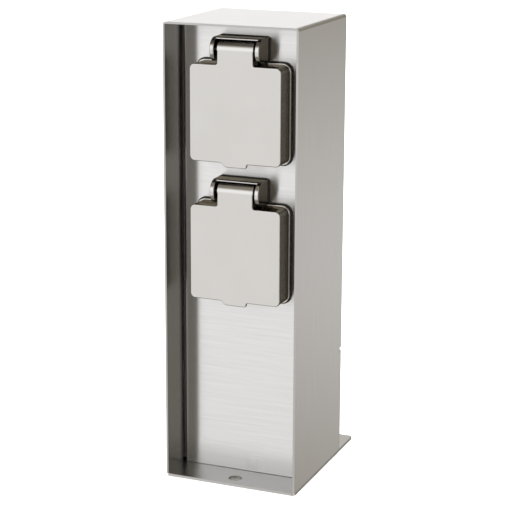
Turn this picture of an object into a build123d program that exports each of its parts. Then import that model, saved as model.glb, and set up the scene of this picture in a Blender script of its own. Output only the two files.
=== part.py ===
from build123d import *
from math import radians, sqrt, tan
import os

# Garden post of folded stainless sheet with two spring-lidded sockets, one above the other.
# Millimetres. x is to the right, y to the back, z up. The origin is on the ground, at the
# middle of the base plate's footprint.

# The folded enclosure and its base plate
post_width = 100.0
post_depth = 95.5
post_height = 332.0
sheet = 1.5
bend_inner = 0.8
plate_length = 125.0
plate_thickness = 2.0
plate_corner = 2.0
fixing_bore = 9.0
fixing_inset = 10.5
fixing_chamfer = 0.4

# The front panel, set back between the walls
panel_setback = 27.2
panel_side_gap = 1.3
panel_end_gap = 0.6
face_end_gap = 0.25
panel_flange = 14.0

# The channel that closes the back
cover_side_gap = 0.4
cover_flange = 12.0
hook_height = 82.0
hook_length = 5.5
hook_thickness = 1.8
hook_clearance = 0.2
bracket_width = 16.0
bracket_leg = 14.0
bracket_drop = 18.0
bracket_pitch = 60.0

# Metric fasteners of the enclosure
stud_diameter = 4.0
stud_length = 12.0
stud_pitch = 60.0
stud_inset = 8.0
nut_flats = 7.0
nut_height = 3.2
washer_diameter = 9.0
cover_head_diameter = 7.5
cover_head_height = 2.6
cover_screw_length = 9.0
hole_clearance = 0.25
thread_clearance = 0.05

# Places of the two socket centres
upper_drop = 63.1
socket_pitch = 99.6

# Socket frame: flange on the panel, with a hood over the hinge
frame_size = 71.6
frame_corner = 6.5
frame_thickness = 2.6
frame_round = 0.8
seal_thickness = 1.0
seal_margin = 0.6
hood_width = 36.8
hood_corner = 2.5
ear_thickness = 3.1
ear_radius = 8.7
ear_bottom = 36.3
ear_round = 0.6
roof_thickness = 1.2
roof_overhang = 3.1

# Lid: a shallow cap with a rolled tongue at the top and a finger tab at the bottom
lid_size = 68.2
lid_corner = 3.8
lid_stand = 18.0
lid_depth = 14.0
lid_wall = 1.6
lid_edge = 0.6
tongue_width = 26.6
tongue_root = 1.5
tongue_past_top = 10.0
cheek_thickness = 2.0
cheek_depth = 11.0
hinge_rise = 44.1
hinge_stand = 11.1
tab_drop = 3.0
tab_left = -12.0
tab_left_flat = -6.2
tab_right_flat = 7.3
tab_right = 10.2
tab_overlap = 2.0

# Hinge pin and closing spring
pin_diameter = 3.0
pin_fit = 0.04
knuckle_fit = 0.06
pin_blind = 1.4
closer_wire = 0.9
closer_radius = 2.6
closer_pitch = 2.1
closer_turns = 9
closer_hole = 1.3
closer_seat = 1.0
closer_pocket = 0.7

# Moulded insert with the plug recess
collar_diameter = 54.0
barrel_diameter = 50.0
barrel_clearance = 0.3
recess_diameter = 39.5
recess_depth = 15.0
recess_chamfer = 1.0
floor_thickness = 2.4
barrel_wall = 4.5
barrel_depth = 24.0
lid_seal_thickness = 2.0
lid_seal_width = 4.0
lid_seal_gap = 0.3
contact_spacing = 19.0
contact_entry = 5.4
earth_rise = 10.0

# Contacts, earth pin and the block that carries them
earth_diameter = 4.8
earth_reach = 14.0
earth_tip = 2.0
earth_collar_diameter = 7.5
earth_collar_length = 1.4
carrier_clearance = 0.1
carrier_start = 6.8
carrier_flange = 3.0
tulip_diameter = 7.0
tulip_bore = 5.0
tulip_start = 9.0
tulip_slit = 0.8
tulip_slit_depth = 9.0
bore_clearance = 0.2
terminal_width = 7.0
terminal_depth = 7.0
terminal_height = 10.0
terminal_head_diameter = 5.5
terminal_head_height = 1.8
terminal_shank = 3.4
terminal_reach = 5.0
carrier_screw_shank = 2.4
carrier_screw_length = 11.0
carrier_head_diameter = 4.4
carrier_head_height = 1.6

# Child-safety shutter behind the recess floor
shutter_width = 28.0
shutter_low = -3.6
shutter_high = 9.4
shutter_thickness = 2.7
shutter_gap = 0.15
shutter_travel = 5.8
window_diameter = 6.0
ramp_depth = 2.0
notch_width = 9.4
notch_low = 5.6
rib_thickness = 1.5
rib_low = -12.0
ledge_width = 8.0
ledge_thickness = 2.0
return_wire = 0.4
return_radius = 1.2
return_length = 12.8
return_turns = 7

# Screws that hold each socket frame to the panel
frame_screw_pitch = 54.0
frame_screw_diameter = 3.0
frame_screw_length = 11.0
frame_head_diameter = 5.5
frame_head_height = 1.8
frame_nut_flats = 5.5
frame_nut_height = 2.4

# Supply side, on the base plate behind the panel
cable_diameter = 9.5
gland_hole = 20.0
gland_flange = 26.0
gland_flange_height = 3.0
cable_setback = 35.3
block_length = 42.0
block_body = 30.0
block_depth = 14.0
block_height = 18.0
block_foot = 4.0
block_setback = 11.0
barrel_outer = 6.0
barrel_length = 14.0
foot_screw_pitch = 36.0
foot_screw_diameter = 3.0
foot_head_diameter = 5.5
foot_head_height = 1.8
foot_screw_end = 0.4

# Wiring and the bond to the sheet metal
wire_diameter = 2.8
wire_bow = 2.5
bond_setback = 13.0
bond_bow = 1.5
lug_ring = 9.0
lug_thickness = 1.0
lug_barrel = 4.6
lug_reach = 7.0
lug_height = 9.0

# Places worked out from the sizes above
y_front = -plate_length / 2
y_back = y_front + post_depth
x_wall = post_width / 2 - sheet
z_plate = plate_thickness
z_ceiling = post_height - sheet
y_panel = y_front + panel_setback
y_cover = y_back - sheet
panel_width = 2 * (x_wall - panel_side_gap)
cover_width = 2 * (x_wall - cover_side_gap)
z_panel_low = z_plate + panel_end_gap
z_panel_high = z_ceiling - panel_end_gap
upper_centre = post_height - upper_drop
lower_centre = upper_centre - socket_pitch
cable_place = y_panel + cable_setback
block_place = y_back - block_setback
bond_place = y_back - bond_setback

# Places inside one socket, measured from its centre on the panel's front face
seal_front = -seal_thickness
flange_front = seal_front - frame_thickness
lid_front = -lid_stand
lid_back = lid_front + lid_depth
lid_inside = lid_front + lid_wall
roll_radius = lid_stand - hinge_stand
collar_front = lid_inside + lid_seal_thickness + lid_seal_gap
floor_front = collar_front + recess_depth
floor_back = floor_front + floor_thickness
carrier_back = barrel_depth + carrier_flange
terminal_back = carrier_back + terminal_depth
shutter_front = floor_back + shutter_gap
shutter_back = shutter_front + shutter_thickness
ledge_top = shutter_low - return_length
hood_half = hood_width / 2
hood_top = hinge_rise + ear_radius
roof_under = hood_top - roof_thickness
roof_front = -hinge_stand - roof_overhang
cavity_diameter = barrel_diameter - 2 * barrel_wall
carrier_screw_place = (barrel_diameter - barrel_wall) / 2
contact_x = contact_spacing / 2
wire_y = carrier_back + terminal_depth / 2


def block(x0, x1, y0, y1, z0, z1):
    """A box between two corners."""
    size = Box(x1 - x0, y1 - y0, z1 - z0)
    return Pos((x0 + x1) / 2, (y0 + y1) / 2, (z0 + z1) / 2) * size


def rod_x(diameter, x0, x1, y=0.0, z=0.0):
    """A cylinder along x."""
    return Pos((x0 + x1) / 2, y, z) * Rot(0, 90, 0) * Cylinder(diameter / 2, x1 - x0)


def rod_y(diameter, y0, y1, x=0.0, z=0.0):
    """A cylinder along y."""
    return Pos(x, (y0 + y1) / 2, z) * Rot(90, 0, 0) * Cylinder(diameter / 2, y1 - y0)


def rod_z(diameter, z0, z1, x=0.0, y=0.0):
    """A cylinder along z."""
    return Pos(x, y, (z0 + z1) / 2) * Cylinder(diameter / 2, z1 - z0)


def slab(outline, y0, y1):
    """An outline drawn in x and z, given its thickness along y."""
    return extrude(Plane.XZ.offset(-y1) * outline, y1 - y0)


def bar(outline, x0, x1):
    """An outline drawn in y and z, run along x."""
    return extrude(Plane.YZ.offset(x0) * outline, x1 - x0)


def tray(width, z_low, z_high, depth, ends):
    """A folded panel: its face at y = 0, its flanges behind it, with or without end flanges."""
    outer = block(-width / 2, width / 2, 0, depth, z_low, z_high)
    face_edges = outer.edges().group_by(Axis.Y)[0]
    bends = face_edges if ends else face_edges.filter_by(Axis.Z)
    outer = fillet(bends, bend_inner + sheet)
    end = sheet if ends else -sheet
    inner = block(
        sheet - width / 2, width / 2 - sheet, sheet, depth + sheet, z_low + end, z_high - end
    )
    inner_edges = inner.edges().group_by(Axis.Y)[0]
    inner_bends = inner_edges if ends else inner_edges.filter_by(Axis.Z)
    inner = fillet(inner_bends, bend_inner)
    return outer - inner


def coil_path(radius, pitch, turns, lead_in, lead_out):
    """A coil about the x axis from x = 0, each half turn one arc, with a straight run at each
    end. It starts at the bottom, leaves towards -y, and ends at the bottom in the same way."""
    bulge = sqrt(radius**2 + (pitch / 4) ** 2)
    pieces = []
    if lead_in:
        pieces.append(Line((0, lead_in, -radius), (0, 0, -radius)))
    for turn in range(turns):
        x = turn * pitch
        low = (x, 0, -radius)
        high = (x + pitch / 2, 0, radius)
        next_low = (x + pitch, 0, -radius)
        pieces.append(ThreePointArc(low, (x + pitch / 4, -bulge, 0), high))
        pieces.append(ThreePointArc(high, (x + 3 * pitch / 4, bulge, 0), next_low))
    if lead_out:
        end_x = turns * pitch
        pieces.append(Line((end_x, 0, -radius), (end_x, -lead_out, -radius)))
    return Wire([edge for piece in pieces for edge in piece.edges()])


def swept_tube(path, diameter):
    """A round wire along a path."""
    start = Plane(origin=path @ 0, z_dir=path % 0)
    return sweep(start * Circle(diameter / 2), path=path)


def wire_run(points, diameter):
    """A conductor through hand-picked points, each bend as wide as its two runs allow."""
    corners = [Vector(*point) for point in points]
    bends = []
    for before, here, after in zip(corners, corners[1:], corners[2:]):
        turn = (here - before).get_angle(after - here)
        shorter = min((here - before).length, (after - here).length)
        bends.append(0.45 * shorter / tan(radians(turn) / 2))
    print("bend radii", [round(bend, 1) for bend in bends])
    return swept_tube(Wire(FilletPolyline(*corners, radius=bends).edges()), diameter)


def nut(flats, height, bore):
    """A hexagon nut standing on z = 0."""
    body = extrude(RegularPolygon(flats / 2, 6, major_radius=False), height)
    return body - rod_z(bore, -height, 2 * height)


def pan_screw(shank, length, head, head_height):
    """A pan-head screw: its head above z = 0, its shank below it, with a cross recess."""
    top = Cylinder(head / 2, head_height, align=(Align.CENTER, Align.CENTER, Align.MIN))
    top = fillet(top.edges().group_by(Axis.Z)[-1], 0.45 * head_height)
    slot = 0.18 * head
    depth = 0.5 * head_height
    recess = block(-0.3 * head, 0.3 * head, -slot / 2, slot / 2, head_height - depth, 2 * head_height)
    return top + rod_z(shank, -length, 0) - recess - Rot(0, 0, 90) * recess


# Enclosure


def housing():
    """Left wall, top and right wall, folded from one sheet and open at the front and back."""
    half = post_width / 2
    outer = block(-half, half, y_front, y_back, z_plate, post_height)
    top_bends = outer.edges().filter_by(Axis.Y).group_by(Axis.Z)[-1]
    outer = fillet(top_bends, bend_inner + sheet)
    inner = block(-x_wall, x_wall, y_front - sheet, y_back + sheet, z_plate - sheet, z_ceiling)
    inner_bends = inner.edges().filter_by(Axis.Y).group_by(Axis.Z)[-1]
    inner = fillet(inner_bends, bend_inner)
    notch_half = hook_thickness / 2 + hook_clearance
    notch = block(
        -post_width,
        post_width,
        y_back - hook_length,
        y_back + sheet,
        hook_height - notch_half,
        hook_height + notch_half,
    )
    return outer - inner - notch


def base_plate():
    """Foot of the post, with a rear tab, two fixing holes and the cable hole."""
    outline = RectangleRounded(post_width, plate_length, plate_corner)
    plate = extrude(outline, plate_thickness)
    fixing_y = plate_length / 2 - fixing_inset
    for y in (-fixing_y, fixing_y):
        hole = rod_z(fixing_bore, -1, plate_thickness + 1, y=y)
        rim = fixing_bore + 2 * fixing_chamfer
        sink = Pos(0, y, plate_thickness - fixing_chamfer / 2) * Cone(
            fixing_bore / 2, rim / 2, fixing_chamfer
        )
        plate = plate - hole - sink
    plate -= rod_z(gland_hole, -1, plate_thickness + 1, y=cable_place)
    for x in (-foot_screw_pitch / 2, foot_screw_pitch / 2):
        bore = foot_screw_diameter + 2 * thread_clearance
        plate -= rod_z(bore, -1, plate_thickness + 1, x=x, y=block_place)
    return plate


def front_panel():
    """The recessed panel that carries the sockets: a channel bent at its sides and cut straight at
    its ends, with a flange turned back inside each end."""
    low = z_plate + face_end_gap
    high = z_ceiling - face_end_gap
    panel = tray(panel_width, low, high, panel_flange, False)
    panel += tray(panel_width, z_panel_low, z_panel_high, panel_flange, True)
    panel = Pos(0, y_panel, 0) * panel
    for centre in (lower_centre, upper_centre):
        opening = barrel_diameter + 2 * barrel_clearance
        panel -= rod_y(opening, y_panel - 1, y_panel + sheet + 1, z=centre)
        for x, z in frame_screw_places():
            bore = frame_screw_diameter + 2 * hole_clearance
            panel -= rod_y(bore, y_panel - 1, y_panel + sheet + 1, x=x, z=centre + z)
    for x in stud_places():
        bore = stud_diameter + 2 * hole_clearance
        panel -= rod_z(bore, z_plate, z_ceiling, x=x, y=y_panel + stud_inset)
    return panel


def back_cover():
    """The channel that closes the back, with a hook at each side that sits in a wall notch."""
    turned = Rot(0, 0, 180) * tray(cover_width, z_panel_low, z_panel_high, cover_flange, False)
    cover = Pos(0, y_back, 0) * turned
    hook_low = hook_height - hook_thickness / 2
    hook_high = hook_height + hook_thickness / 2
    reach = post_width / 2 - hook_clearance
    inner = cover_width / 2 - sheet
    y0 = y_back - hook_length + hook_clearance
    y1 = y_back - bend_inner - sheet
    for side in (-1, 1):
        x0, x1 = sorted((side * inner, side * reach))
        cover += block(x0, x1, y0, y1, hook_low, hook_high)
    for x, z in cover_screw_places():
        bore = stud_diameter + 2 * hole_clearance
        cover -= rod_y(bore, y_cover - 1, y_back + 1, x=x, z=z)
    return cover


def stud_places():
    """Left and right of the middle."""
    return (-stud_pitch / 2, stud_pitch / 2)


def cover_screw_places():
    """Two screws under the top and two above the plate, at the brackets' middles."""
    reach = (bracket_drop + sheet) / 2
    return [
        (x, z)
        for x in (-bracket_pitch / 2, bracket_pitch / 2)
        for z in (z_plate + reach, z_ceiling - reach)
    ]


def frame_screw_places():
    """The corners of the square on which a frame is screwed down."""
    half = frame_screw_pitch / 2
    return [(x, z) for x in (-half, half) for z in (-half, half)]


def cover_brackets():
    """Four angle brackets, welded under the top and on the plate, behind the cover."""
    corner = block(0, bracket_width, -bracket_leg, 0, 0, sheet)
    corner += block(0, bracket_width, -sheet, 0, 0, bracket_drop)
    brackets = []
    for x in (-bracket_pitch / 2, bracket_pitch / 2):
        left = x - bracket_width / 2
        brackets.append(Pos(left, y_cover, z_plate) * corner)
        brackets.append(Pos(left, y_cover, z_ceiling) * mirror(corner, about=Plane.XY))
    bore = stud_diameter + 2 * hole_clearance
    for x, z in cover_screw_places():
        hole = rod_y(bore, y_cover - 2 * sheet, y_cover + 1, x=x, z=z)
        brackets = [bracket - hole for bracket in brackets]
    return brackets


def cover_screws():
    """Four screws from behind, through the cover and its brackets."""
    screw = pan_screw(
        stud_diameter, cover_screw_length, cover_head_diameter, cover_head_height
    )
    return [Pos(x, y_back, z) * Rot(-90, 0, 0) * screw for x, z in cover_screw_places()]


def cover_nuts():
    """Nuts welded to the front of the cover brackets."""
    y = y_cover - sheet
    bore = stud_diameter + 2 * thread_clearance
    piece = Rot(90, 0, 0) * nut(nut_flats, nut_height, bore)
    return [Pos(x, y, z) * piece for x, z in cover_screw_places()]


def panel_studs():
    """Weld studs: two up from the plate and two down from the top."""
    y = y_panel + stud_inset
    studs = []
    for x in stud_places():
        studs.append(rod_z(stud_diameter, z_plate, z_plate + stud_length, x=x, y=y))
        studs.append(rod_z(stud_diameter, z_ceiling - stud_length, z_ceiling, x=x, y=y))
    return studs


def panel_washers():
    """Spacer washers between the panel's end flanges and the sheet that carries them."""
    y = y_panel + stud_inset
    bore = stud_diameter + 2 * hole_clearance
    washers = []
    for x in stud_places():
        for z in (z_plate, z_panel_high):
            ring = rod_z(washer_diameter, z, z + panel_end_gap, x=x, y=y)
            washers.append(ring - rod_z(bore, z - 1, z + panel_end_gap + 1, x=x, y=y))
    return washers


def panel_nuts():
    """Nuts that clamp the panel's end flanges on their studs."""
    y = y_panel + stud_inset
    piece = nut(nut_flats, nut_height, stud_diameter + 2 * thread_clearance)
    nuts = []
    for x in stud_places():
        nuts.append(Pos(x, y, z_panel_low + sheet) * piece)
        nuts.append(Pos(x, y, z_panel_high - sheet - nut_height) * piece)
    return nuts


# Socket, drawn about its centre on the panel's front face


def hood_outline(reach):
    """Side view of the hinge hood: round in front, flat below, up to the back of the frame."""
    nose = Pos(-hinge_stand, hinge_rise) * Circle(reach)
    body_height = hinge_rise + reach - ear_bottom
    body_depth = hinge_stand + seal_front
    body = Pos(-hinge_stand + body_depth / 2, ear_bottom + body_height / 2) * Rectangle(
        body_depth, body_height
    )
    below = Pos(-hinge_stand, ear_bottom - reach) * Rectangle(4 * reach, 2 * reach)
    return nose + body - below


def socket_frame():
    """Square flange with a round opening, and the hood with two ears that carry the pin."""
    flange = slab(RectangleRounded(frame_size, frame_size, frame_corner), flange_front, seal_front)
    flange = fillet(flange.edges().group_by(Axis.Y)[0], frame_round)
    inner_half = hood_half - ear_thickness
    roof_half = inner_half + ear_round
    hood = bar(hood_outline(ear_radius), -roof_half, roof_half)
    hood -= block(-roof_half, roof_half, -2 * lid_stand, flange_front, 0, roof_under)
    hood -= block(-roof_half, roof_half, -2 * lid_stand, roof_front, 0, 2 * hood_top)
    for x0, x1 in ((-hood_half, -inner_half), (inner_half, hood_half)):
        ear = bar(hood_outline(ear_radius), x0, x1)
        hood += fillet(ear.edges().filter_by(GeomType.CIRCLE), ear_round)
    wall_low = frame_size / 2 - frame_corner
    back_wall = block(-hood_half, hood_half, flange_front, seal_front, wall_low, hood_top)
    frame = flange + hood + back_wall
    frame -= rod_y(barrel_diameter + 2 * barrel_clearance, -2 * lid_stand, 1)
    for x, z in frame_screw_places():
        frame -= rod_y(frame_screw_diameter + 2 * hole_clearance, -2 * lid_stand, 1, x=x, z=z)
    bore = pin_diameter + 2 * pin_fit
    blind_end = inner_half + pin_blind
    frame -= rod_x(bore, -hood_half - 1, blind_end, y=-hinge_stand, z=hinge_rise)
    seat = flange_front + closer_seat
    frame -= rod_y(
        closer_hole, flange_front - 1, seat, x=closer_start(), z=hinge_rise - closer_radius
    )
    return frame


def frame_seal():
    """Flat rubber seal between the frame and the panel, a little proud all round."""
    size = frame_size + 2 * seal_margin
    outline = RectangleRounded(size, size, frame_corner + seal_margin)
    upper_height = hood_top + seal_margin
    upper = Pos(0, upper_height / 2) * RectangleRounded(
        hood_width + 2 * seal_margin, upper_height, hood_corner
    )
    seal = slab(outline + upper, seal_front, 0)
    seal -= rod_y(barrel_diameter + 2 * barrel_clearance, -lid_stand, 1)
    for x, z in frame_screw_places():
        seal -= rod_y(frame_screw_diameter + 2 * hole_clearance, -lid_stand, 1, x=x, z=z)
    return seal


def tab_outline():
    """Finger tab below the lid: a long S on the left, a flat bottom and a short S on the right."""
    low = -lid_size / 2
    bottom = low - tab_drop
    middle = (low + bottom) / 2
    left_middle = (tab_left + tab_left_flat) / 2
    right_middle = (tab_right_flat + tab_right) / 2
    edges = [
        TangentArc((tab_left, low), (left_middle, middle), tangent=(1, 0)),
        TangentArc((tab_left_flat, bottom), (left_middle, middle), tangent=(-1, 0)),
        Line((tab_left_flat, bottom), (tab_right_flat, bottom)),
        TangentArc((tab_right_flat, bottom), (right_middle, middle), tangent=(1, 0)),
        TangentArc((tab_right, low), (right_middle, middle), tangent=(-1, 0)),
        Line((tab_right, low), (tab_right, low + tab_overlap)),
        Line((tab_right, low + tab_overlap), (tab_left, low + tab_overlap)),
        Line((tab_left, low + tab_overlap), (tab_left, low)),
    ]
    return make_face(Curve() + edges)


def lid():
    """Cap over the socket, hung on the pin by the tongue that rolls back over it."""
    half = lid_size / 2
    tongue_half = tongue_width / 2
    face = RectangleRounded(lid_size, lid_size, lid_corner)
    face += Pos(0, hinge_rise / 2) * Rectangle(tongue_width, hinge_rise)
    roots = [
        corner
        for corner in face.vertices()
        if abs(abs(corner.X) - tongue_half) < 0.01 and abs(corner.Y - half) < 0.01
    ]
    face = fillet(roots, tongue_root) + tab_outline()
    plate = slab(face, lid_front, lid_inside)
    rim = plate.edges().group_by(Axis.Y)[0]
    top_edge = rim.filter_by(Axis.X).group_by(Axis.Z)[-1]
    plate = fillet([edge for edge in rim if edge not in top_edge], lid_edge)
    skirt = slab(RectangleRounded(lid_size, lid_size, lid_corner), lid_inside, lid_back)
    inner_size = lid_size - 2 * lid_wall
    skirt -= slab(
        RectangleRounded(inner_size, inner_size, lid_corner - lid_wall), lid_inside, lid_back
    )
    ring = Circle(roll_radius) - Circle(roll_radius - lid_wall)
    upper_half = Pos(0, roll_radius) * Rectangle(4 * roll_radius, 2 * roll_radius)
    past = Rot(0, 0, -tongue_past_top) * Pos(2 * roll_radius, 0) * Rectangle(
        4 * roll_radius, 4 * roll_radius
    )
    shell = bar(
        Pos(-hinge_stand, hinge_rise) * (ring & (upper_half - past)), -tongue_half, tongue_half
    )
    cheek_low = half - lid_wall
    cheek_height = hinge_rise - cheek_low
    web = Pos(lid_front + cheek_depth / 2, cheek_low + cheek_height / 2) * Rectangle(
        cheek_depth, cheek_height
    )
    cheek = Pos(-hinge_stand, hinge_rise) * Circle(roll_radius) + web
    body = plate + skirt + shell
    inner = tongue_half - cheek_thickness
    inset = lid_edge
    body += bar(cheek, -tongue_half + inset, -inner) + bar(cheek, inner, tongue_half - inset)
    body -= rod_x(
        pin_diameter + 2 * knuckle_fit, -lid_size, lid_size, y=-hinge_stand, z=hinge_rise
    )
    pocket_end = lid_inside - closer_pocket
    body -= rod_y(
        closer_hole, pocket_end, lid_inside + 1, x=closer_end(), z=hinge_rise - closer_radius
    )
    return body


def lid_seal():
    """Ring of soft rubber stuck inside the lid, just ahead of the collar's rim."""
    back = lid_inside + lid_seal_thickness
    ring = rod_y(collar_diameter, lid_inside, back)
    return ring - rod_y(collar_diameter - 2 * lid_seal_width, lid_inside - 1, back + 1)


def hinge_pin():
    """Straight pin from the left ear into the blind hole of the right ear."""
    end = hood_half - ear_thickness + pin_blind - pin_fit
    return rod_x(pin_diameter, -hood_half, end, y=-hinge_stand, z=hinge_rise)


def closer_start():
    """Where the closing spring's first turn lies along x."""
    return -closer_pitch * closer_turns / 2


def closer_end():
    """Where its last turn ends along x."""
    return closer_pitch * closer_turns / 2


def lid_spring():
    """Closing spring round the pin: one leg in the frame, the other in the tongue."""
    back_leg = flange_front + hinge_stand + closer_seat - hole_clearance
    front_leg = -(lid_inside + hinge_stand) + closer_pocket - hole_clearance
    path = coil_path(closer_radius, closer_pitch, closer_turns, back_leg, front_leg)
    placed = Pos(closer_start(), -hinge_stand, hinge_rise) * path
    return swept_tube(placed, closer_wire)


def insert():
    """Moulded body: collar in front of the frame, plug recess, floor and contact chamber."""
    body = rod_y(collar_diameter, collar_front, flange_front)
    body = fillet(body.edges().group_by(Axis.Y)[0], frame_round)
    body += rod_y(barrel_diameter, flange_front, barrel_depth)
    body -= rod_y(recess_diameter, collar_front - 1, floor_front)
    rim = recess_diameter + 2 * recess_chamfer
    chamfer_ring = Pos(0, collar_front + recess_chamfer / 2, 0) * Rot(90, 0, 0) * Cone(
        recess_diameter / 2, rim / 2, recess_chamfer
    )
    body -= chamfer_ring
    body -= rod_y(cavity_diameter, floor_back, barrel_depth + 1)
    for x in (-contact_x, contact_x):
        body -= rod_y(contact_entry, floor_front - 1, floor_back + 1, x=x)
    body -= rod_y(earth_diameter + 2 * thread_clearance, floor_front - 1, floor_back + 1, z=earth_rise)
    guide = shutter_width / 2 + shutter_gap
    rib_end = shutter_back + shutter_gap
    for side in (-1, 1):
        x0, x1 = sorted((side * guide, side * (guide + rib_thickness)))
        body += block(x0, x1, floor_back, rib_end, rib_low, shutter_high)
    body += block(
        -ledge_width / 2,
        ledge_width / 2,
        floor_back,
        rib_end,
        ledge_top - ledge_thickness,
        ledge_top,
    )
    for side in (-1, 1):
        bore = carrier_screw_shank + 2 * thread_clearance
        end = barrel_depth - (carrier_screw_length - carrier_flange) - 1
        body -= rod_y(bore, end, barrel_depth + 1, x=side * carrier_screw_place)
    return body


def shutter():
    """Sliding plate that covers both contact entries until two prongs push on its ramps."""
    half = shutter_width / 2
    plate = block(-half, half, shutter_front, shutter_back, shutter_low, shutter_high)
    plate -= block(
        -notch_width / 2,
        notch_width / 2,
        shutter_front - 1,
        shutter_back + 1,
        notch_low,
        shutter_high + 1,
    )
    ramp_height = window_diameter
    ramp_top = shutter_travel - window_diameter / 2
    ramp = Polyline(
        (shutter_front, ramp_top),
        (shutter_front + ramp_depth, ramp_top),
        (shutter_front, ramp_top - ramp_height + 1),
        close=True,
    )
    for x in (-contact_x, contact_x):
        plate -= rod_y(window_diameter, shutter_front - 1, shutter_back + 1, x=x, z=shutter_travel)
        plate -= bar(make_face(ramp), x - contact_entry / 2, x + contact_entry / 2)
    return plate


def shutter_spring():
    """Small spring that stands on the ledge and pushes the shutter up."""
    length = return_length - 2 * return_wire
    pitch = length / return_turns
    path = coil_path(return_radius, pitch, return_turns, 0, 0)
    upright = Rot(0, -90, 0) * path
    middle = (shutter_front + shutter_back) / 2
    return swept_tube(Pos(0, middle, ledge_top + return_wire) * upright, return_wire)


def contact_carrier():
    """Block that closes the chamber from behind and holds the contacts and the earth pin."""
    core = cavity_diameter - 2 * carrier_clearance
    body = rod_y(core, carrier_start, barrel_depth)
    body += rod_y(barrel_diameter, barrel_depth, carrier_back)
    for x in (-contact_x, contact_x):
        bore = tulip_diameter + 2 * bore_clearance
        body -= rod_y(bore, carrier_start - 1, carrier_back + 1, x=x)
    earth_bore = earth_diameter + 2 * bore_clearance
    body -= rod_y(earth_bore, carrier_start - 1, carrier_back + 1, z=earth_rise)
    for side in (-1, 1):
        bore = carrier_screw_shank + 2 * hole_clearance
        body -= rod_y(bore, barrel_depth - 1, carrier_back + 1, x=side * carrier_screw_place)
    return body


def terminal(x, z):
    """Clamp block at the back of a contact, bored for its screw."""
    half = terminal_width / 2
    clamp = block(
        x - half, x + half, carrier_back, terminal_back, z - terminal_height / 2, z + terminal_height / 2
    )
    bore = terminal_shank + 2 * thread_clearance
    return clamp - rod_y(bore, terminal_back - terminal_reach - 1, terminal_back + 1, x=x, z=z)


def contacts():
    """Live and neutral: a slit tulip for the prong, with its clamp behind."""
    pair = []
    for x in (-contact_x, contact_x):
        tulip = rod_y(tulip_diameter, tulip_start, carrier_back, x=x)
        tulip -= rod_y(tulip_bore, tulip_start - 1, barrel_depth, x=x)
        reach = tulip_diameter
        slit_end = tulip_start + tulip_slit_depth
        tulip -= block(
            x - reach, x + reach, tulip_start - 1, slit_end, -tulip_slit / 2, tulip_slit / 2
        )
        pair.append(tulip + terminal(x, 0))
    return pair


def earth_pin():
    """Round pin that stands in the recess, with a collar behind the floor and its own clamp."""
    tip = floor_front - earth_reach
    pin = rod_y(earth_diameter, tip, carrier_back, z=earth_rise)
    pin = fillet(pin.edges().group_by(Axis.Y)[0], earth_tip)
    pin += rod_y(
        earth_collar_diameter, floor_back, floor_back + earth_collar_length, z=earth_rise
    )
    return pin + terminal(0, earth_rise)


def contact_screws():
    """The three clamp screws at the back of one socket."""
    screw = pan_screw(
        terminal_shank, terminal_reach, terminal_head_diameter, terminal_head_height
    )
    places = ((-contact_x, 0), (contact_x, 0), (0, earth_rise))
    return [Pos(x, terminal_back, z) * Rot(-90, 0, 0) * screw for x, z in places]


def carrier_screws():
    """The two screws that hold the carrier in the insert."""
    screw = pan_screw(
        carrier_screw_shank, carrier_screw_length, carrier_head_diameter, carrier_head_height
    )
    return [
        Pos(side * carrier_screw_place, carrier_back, 0) * Rot(-90, 0, 0) * screw
        for side in (-1, 1)
    ]


def frame_screws():
    """Four screws through frame, seal and panel."""
    screw = pan_screw(
        frame_screw_diameter, frame_screw_length, frame_head_diameter, frame_head_height
    )
    return [Pos(x, flange_front, z) * Rot(90, 0, 0) * screw for x, z in frame_screw_places()]


def frame_nuts():
    """Their nuts, behind the panel."""
    piece = nut(frame_nut_flats, frame_nut_height, frame_screw_diameter + 2 * thread_clearance)
    return [Pos(x, sheet, z) * Rot(-90, 0, 0) * piece for x, z in frame_screw_places()]


# Supply side


def cable_gland():
    """Rubber bush in the base plate, for the supply cable from the ground."""
    bush = rod_z(gland_hole - 2 * thread_clearance, 0, z_plate, y=cable_place)
    bush += rod_z(gland_flange, z_plate, z_plate + gland_flange_height, y=cable_place)
    bush = fillet(bush.edges().group_by(Axis.Z)[-1], frame_round)
    return bush - rod_z(cable_diameter, -1, z_plate + gland_flange_height + 1, y=cable_place)


def pole_places():
    """The poles stand in line with the contacts above them."""
    return (-contact_x, 0, contact_x)


def terminal_block():
    """Connector block on the base plate, open at the top for three conductors."""
    y0 = block_place - block_depth / 2
    y1 = block_place + block_depth / 2
    body = block(-block_body / 2, block_body / 2, y0, y1, z_plate, z_plate + block_height)
    body += block(-block_length / 2, block_length / 2, y0, y1, z_plate, z_plate + block_foot)
    top = z_plate + block_height
    for x in pole_places():
        bore = barrel_outer + 2 * thread_clearance
        body -= rod_z(bore, top - barrel_length, top + 1, x=x, y=block_place)
        port = foot_head_diameter + 2 * hole_clearance
        body -= rod_y(port, block_place, y1 + 1, x=x, z=top - barrel_length / 2)
    for x in (-foot_screw_pitch / 2, foot_screw_pitch / 2):
        hole = foot_screw_diameter + 2 * hole_clearance
        body -= rod_z(hole, z_plate - 1, top + 1, x=x, y=block_place)
    return body


def terminal_barrels():
    """Brass barrels in the block, each bored for a conductor and tapped for its screw."""
    top = z_plate + block_height
    barrels = []
    for x in pole_places():
        barrel = rod_z(barrel_outer, top - barrel_length, top, x=x, y=block_place)
        bore = foot_screw_diameter + 2 * thread_clearance
        barrel -= rod_y(
            bore, block_place, block_place + barrel_outer, x=x, z=top - barrel_length / 2
        )
        barrels.append(barrel)
    return barrels


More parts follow.
